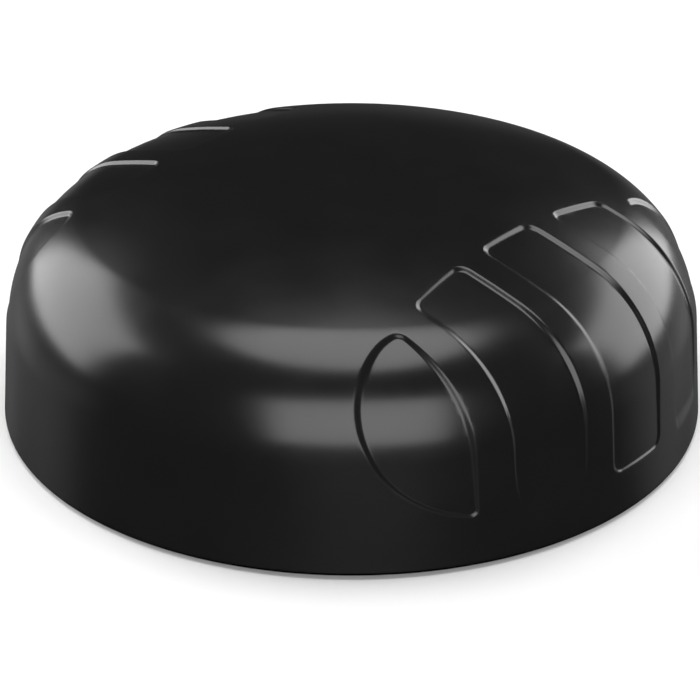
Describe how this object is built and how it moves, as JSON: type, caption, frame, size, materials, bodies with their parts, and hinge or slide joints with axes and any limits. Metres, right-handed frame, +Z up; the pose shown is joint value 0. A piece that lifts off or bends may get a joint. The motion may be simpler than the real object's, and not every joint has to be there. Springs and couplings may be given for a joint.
{
  "type": "gnss receiver",
  "caption": "Round black smart-antenna GNSS receiver: domed radome with recessed side panels over a cast base with a pole thread, cable socket, service port door, lamps and power button.",
  "frame": {"origin": "centre of the resting face, at the mouth of the pole thread", "axes": "+Z up along the dome's axis; -Y towards the plain front; +Y towards the connector bay at the rear; the recessed side panels face -X and +X"},
  "size_m": [0.1548, 0.1532, 0.0558],
  "materials": {
    "radome_plastic": "black satin-gloss moulded plastic",
    "black_casting": "die-cast aluminium, fine black powder coat",
    "grey_rubber": "dark grey silicone rubber",
    "black_rubber": "black rubber",
    "stainless_steel": "plain stainless steel",
    "brass": "machined brass",
    "label_film": "blank silver polyester film",
    "circuit_board": "green solder mask",
    "tinned_can": "tin-plated pressed steel",
    "black_package": "black moulded electronics package",
    "capacitor_sleeve": "dark shrink sleeve",
    "cell_steel": "stamped steel coin cell",
    "cream_plastic": "natural nylon",
    "heat_pad_blue": "soft heat-conducting pad",
    "patch_ceramic": "fired microwave ceramic",
    "silver_plating": "fired silver plating",
    "plate_aluminium": "plain sheet aluminium",
    "gold_contacts": "gold flash on brass",
    "cable_sheath": "thin coaxial cable's sheath",
    "flex_film": "amber flexible circuit film",
    "nickel_plate": "nickel-plated brass",
    "red_lens": "red tinted light pipe",
    "amber_lens": "amber tinted light pipe",
    "green_lens": "green tinted light pipe",
    "button_plastic": "dark grey soft-touch button",
    "vent_plastic": "black moulded plastic",
    "vent_film": "white breathing membrane",
    "door_plastic": "black moulded plastic, fine texture"
  },
  "bodies": {
    "housing": {"radome": "radome_plastic", "base_casting": "black_casting", "base_gasket": "grey_rubber", "thread_insert": "stainless_steel", "radome_inserts": "brass", "radome_screws": "stainless_steel", "screw_seals": "black_rubber", "rating_label": "label_film", "main_board": "circuit_board", "gnss_module_can": "tinned_can", "processor_can": "tinned_can", "radio_module_can": "tinned_can", "imu_module": "black_package", "power_inductors": "black_package", "power_capacitors": "capacitor_sleeve", "backup_cell": "cell_steel", "board_header": "cream_plastic", "heat_pad": "heat_pad_blue", "bluetooth_antenna": "patch_ceramic", "board_standoffs": "brass", "ground_plate": "plate_aluminium", "plate_screws": "stainless_steel", "lna_board": "circuit_board", "lna_shield": "tinned_can", "lower_patch": "patch_ceramic", "lower_patch_plating": "silver_plating", "upper_patch": "patch_ceramic", "upper_patch_plating": "silver_plating", "lower_feed_pins": "brass", "upper_feed_pins": "brass", "patch_screw": "cream_plastic", "coax_sockets": "gold_contacts", "coax_jumper": "cable_sheath", "connector_shell": "nickel_plate", "connector_insulator": "black_package", "connector_pins": "gold_contacts", "connector_seal": "black_rubber", "connector_nut": "nickel_plate", "connector_board": "circuit_board", "connector_ribbon": "flex_film", "port_board": "circuit_board", "port_board_screws": "stainless_steel", "usb_shell": "tinned_can", "usb_tongue": "black_package", "led_chips": "cream_plastic", "led_lens_red": "red_lens", "led_lens_amber": "amber_lens", "led_lens_green": "green_lens", "tact_switch": "black_package", "vent_plug": "vent_plastic", "vent_membrane": "vent_film", "hinge_pin": "stainless_steel"},
    "service_door": {"service_door": "door_plastic", "door_seal": "grey_rubber"},
    "power_button": {"power_button": "button_plastic"}
  },
  "joints": [
    {"name": "service_door_hinge", "type": "hinge", "parent": "housing", "child": "service_door", "pos_m": [-0.0074, 0.0629, 0.0115], "axis": [0, 0, 1], "range_deg": [0, 95]},
    {"name": "power_button_press", "type": "slide", "parent": "housing", "child": "power_button", "axis": [0, -1, 0], "range_m": [0, 0.0005], "stiffness_N_per_m": 600, "springref_m": -0.001}
  ]
}
